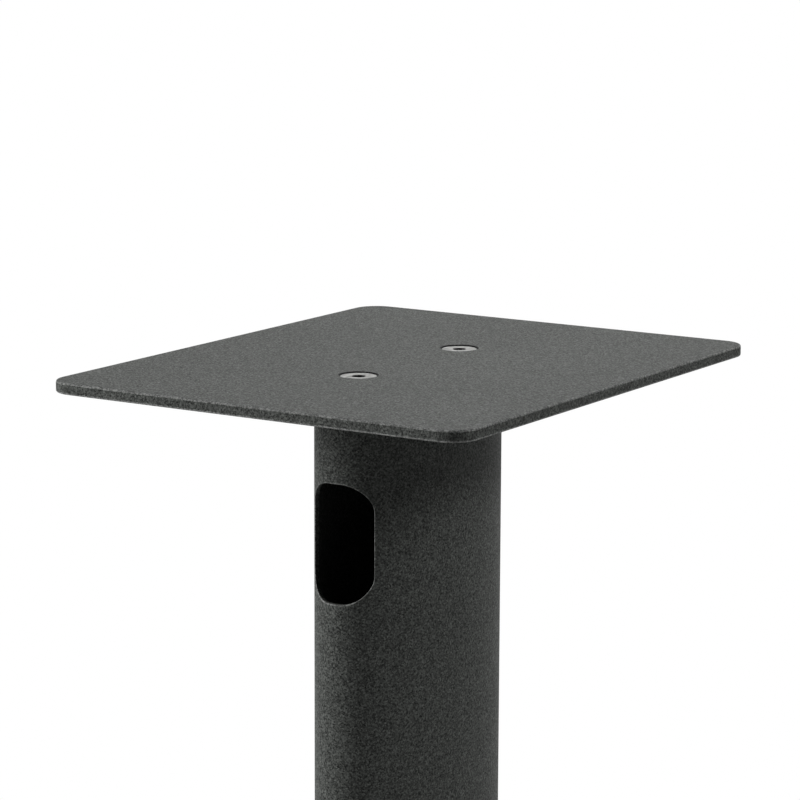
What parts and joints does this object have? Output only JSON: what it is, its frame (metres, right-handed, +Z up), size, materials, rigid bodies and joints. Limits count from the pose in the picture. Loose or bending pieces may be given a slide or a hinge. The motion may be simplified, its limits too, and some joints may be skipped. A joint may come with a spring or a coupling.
{
  "type": "speaker stand",
  "caption": "Loudspeaker stand: flat rounded top plate on an elliptical steel column with cable slots, a heavier base plate and screw-adjusted levelling feet.",
  "frame": {"origin": "on the floor, under the centre of the column, with the feet screwed right up", "axes": "+Z up along the column; +Y front, towards the listener, along the plates' longer sides; -Y rear, the side of the cable slots; -X left and +X right"},
  "size_m": [0.25, 0.3, 0.62],
  "materials": {
    "powder_coat": "fine-textured charcoal powder coat",
    "bare_steel": "laser-cut mild steel, bare inside the tube",
    "zinc_steel": "bright zinc plate on machined steel",
    "glide_nylon": "black moulded nylon",
    "pad_rubber": "black rubber"
  },
  "bodies": {
    "stand": {"top_plate": "powder_coat", "column_tube": "powder_coat", "top_insert": "bare_steel", "base_insert": "bare_steel", "base_plate": "powder_coat", "top_screw_front": "zinc_steel", "top_screw_rear": "zinc_steel", "base_screw_front": "zinc_steel", "base_screw_rear": "zinc_steel"},
    "foot_front_left": {"foot_glide_front_left": "glide_nylon", "foot_pad_front_left": "pad_rubber"},
    "stud_front_left": {"foot_stud_front_left": "zinc_steel"},
    "nut_front_left": {"lock_nut_front_left": "zinc_steel"},
    "foot_front_right": {"foot_glide_front_right": "glide_nylon", "foot_pad_front_right": "pad_rubber"},
    "stud_front_right": {"foot_stud_front_right": "zinc_steel"},
    "nut_front_right": {"lock_nut_front_right": "zinc_steel"},
    "foot_rear_left": {"foot_glide_rear_left": "glide_nylon", "foot_pad_rear_left": "pad_rubber"},
    "stud_rear_left": {"foot_stud_rear_left": "zinc_steel"},
    "nut_rear_left": {"lock_nut_rear_left": "zinc_steel"},
    "foot_rear_right": {"foot_glide_rear_right": "glide_nylon", "foot_pad_rear_right": "pad_rubber"},
    "stud_rear_right": {"foot_stud_rear_right": "zinc_steel"},
    "nut_rear_right": {"lock_nut_rear_right": "zinc_steel"}
  },
  "joints": [
    {"name": "foot_front_left_slide", "type": "slide", "parent": "stand", "child": "foot_front_left", "axis": [0, 0, -1], "range_m": [0, 0.006]},
    {"name": "stud_front_left_turn", "type": "hinge", "parent": "foot_front_left", "child": "stud_front_left", "pos_m": [-0.095, 0.12, 0.0205], "axis": [0, 0, -1], "range_deg": [0, 1728]},
    {"name": "nut_front_left_turn", "type": "hinge", "parent": "stand", "child": "nut_front_left", "pos_m": [-0.095, 0.12, 0.0205], "axis": [0, 0, -1], "range_deg": [0, 90]},
    {"name": "foot_front_right_slide", "type": "slide", "parent": "stand", "child": "foot_front_right", "axis": [0, 0, -1], "range_m": [0, 0.006]},
    {"name": "stud_front_right_turn", "type": "hinge", "parent": "foot_front_right", "child": "stud_front_right", "pos_m": [0.095, 0.12, 0.0205], "axis": [0, 0, -1], "range_deg": [0, 1728]},
    {"name": "nut_front_right_turn", "type": "hinge", "parent": "stand", "child": "nut_front_right", "pos_m": [0.095, 0.12, 0.0205], "axis": [0, 0, -1], "range_deg": [0, 90]},
    {"name": "foot_rear_left_slide", "type": "slide", "parent": "stand", "child": "foot_rear_left", "axis": [0, 0, -1], "range_m": [0, 0.006]},
    {"name": "stud_rear_left_turn", "type": "hinge", "parent": "foot_rear_left", "child": "stud_rear_left", "pos_m": [-0.095, -0.12, 0.0205], "axis": [0, 0, -1], "range_deg": [0, 1728]},
    {"name": "nut_rear_left_turn", "type": "hinge", "parent": "stand", "child": "nut_rear_left", "pos_m": [-0.095, -0.12, 0.0205], "axis": [0, 0, -1], "range_deg": [0, 90]},
    {"name": "foot_rear_right_slide", "type": "slide", "parent": "stand", "child": "foot_rear_right", "axis": [0, 0, -1], "range_m": [0, 0.006]},
    {"name": "stud_rear_right_turn", "type": "hinge", "parent": "foot_rear_right", "child": "stud_rear_right", "pos_m": [0.095, -0.12, 0.0205], "axis": [0, 0, -1], "range_deg": [0, 1728]},
    {"name": "nut_rear_right_turn", "type": "hinge", "parent": "stand", "child": "nut_rear_right", "pos_m": [0.095, -0.12, 0.0205], "axis": [0, 0, -1], "range_deg": [0, 90]}
  ],
  "couplings": [
    {"joint": "stud_front_left_turn", "follows": "foot_front_left_slide", "rad_per_m": 5026.5},
    {"joint": "stud_front_right_turn", "follows": "foot_front_right_slide", "rad_per_m": 5026.5},
    {"joint": "stud_rear_left_turn", "follows": "foot_rear_left_slide", "rad_per_m": 5026.5},
    {"joint": "stud_rear_right_turn", "follows": "foot_rear_right_slide", "rad_per_m": 5026.5}
  ]
}
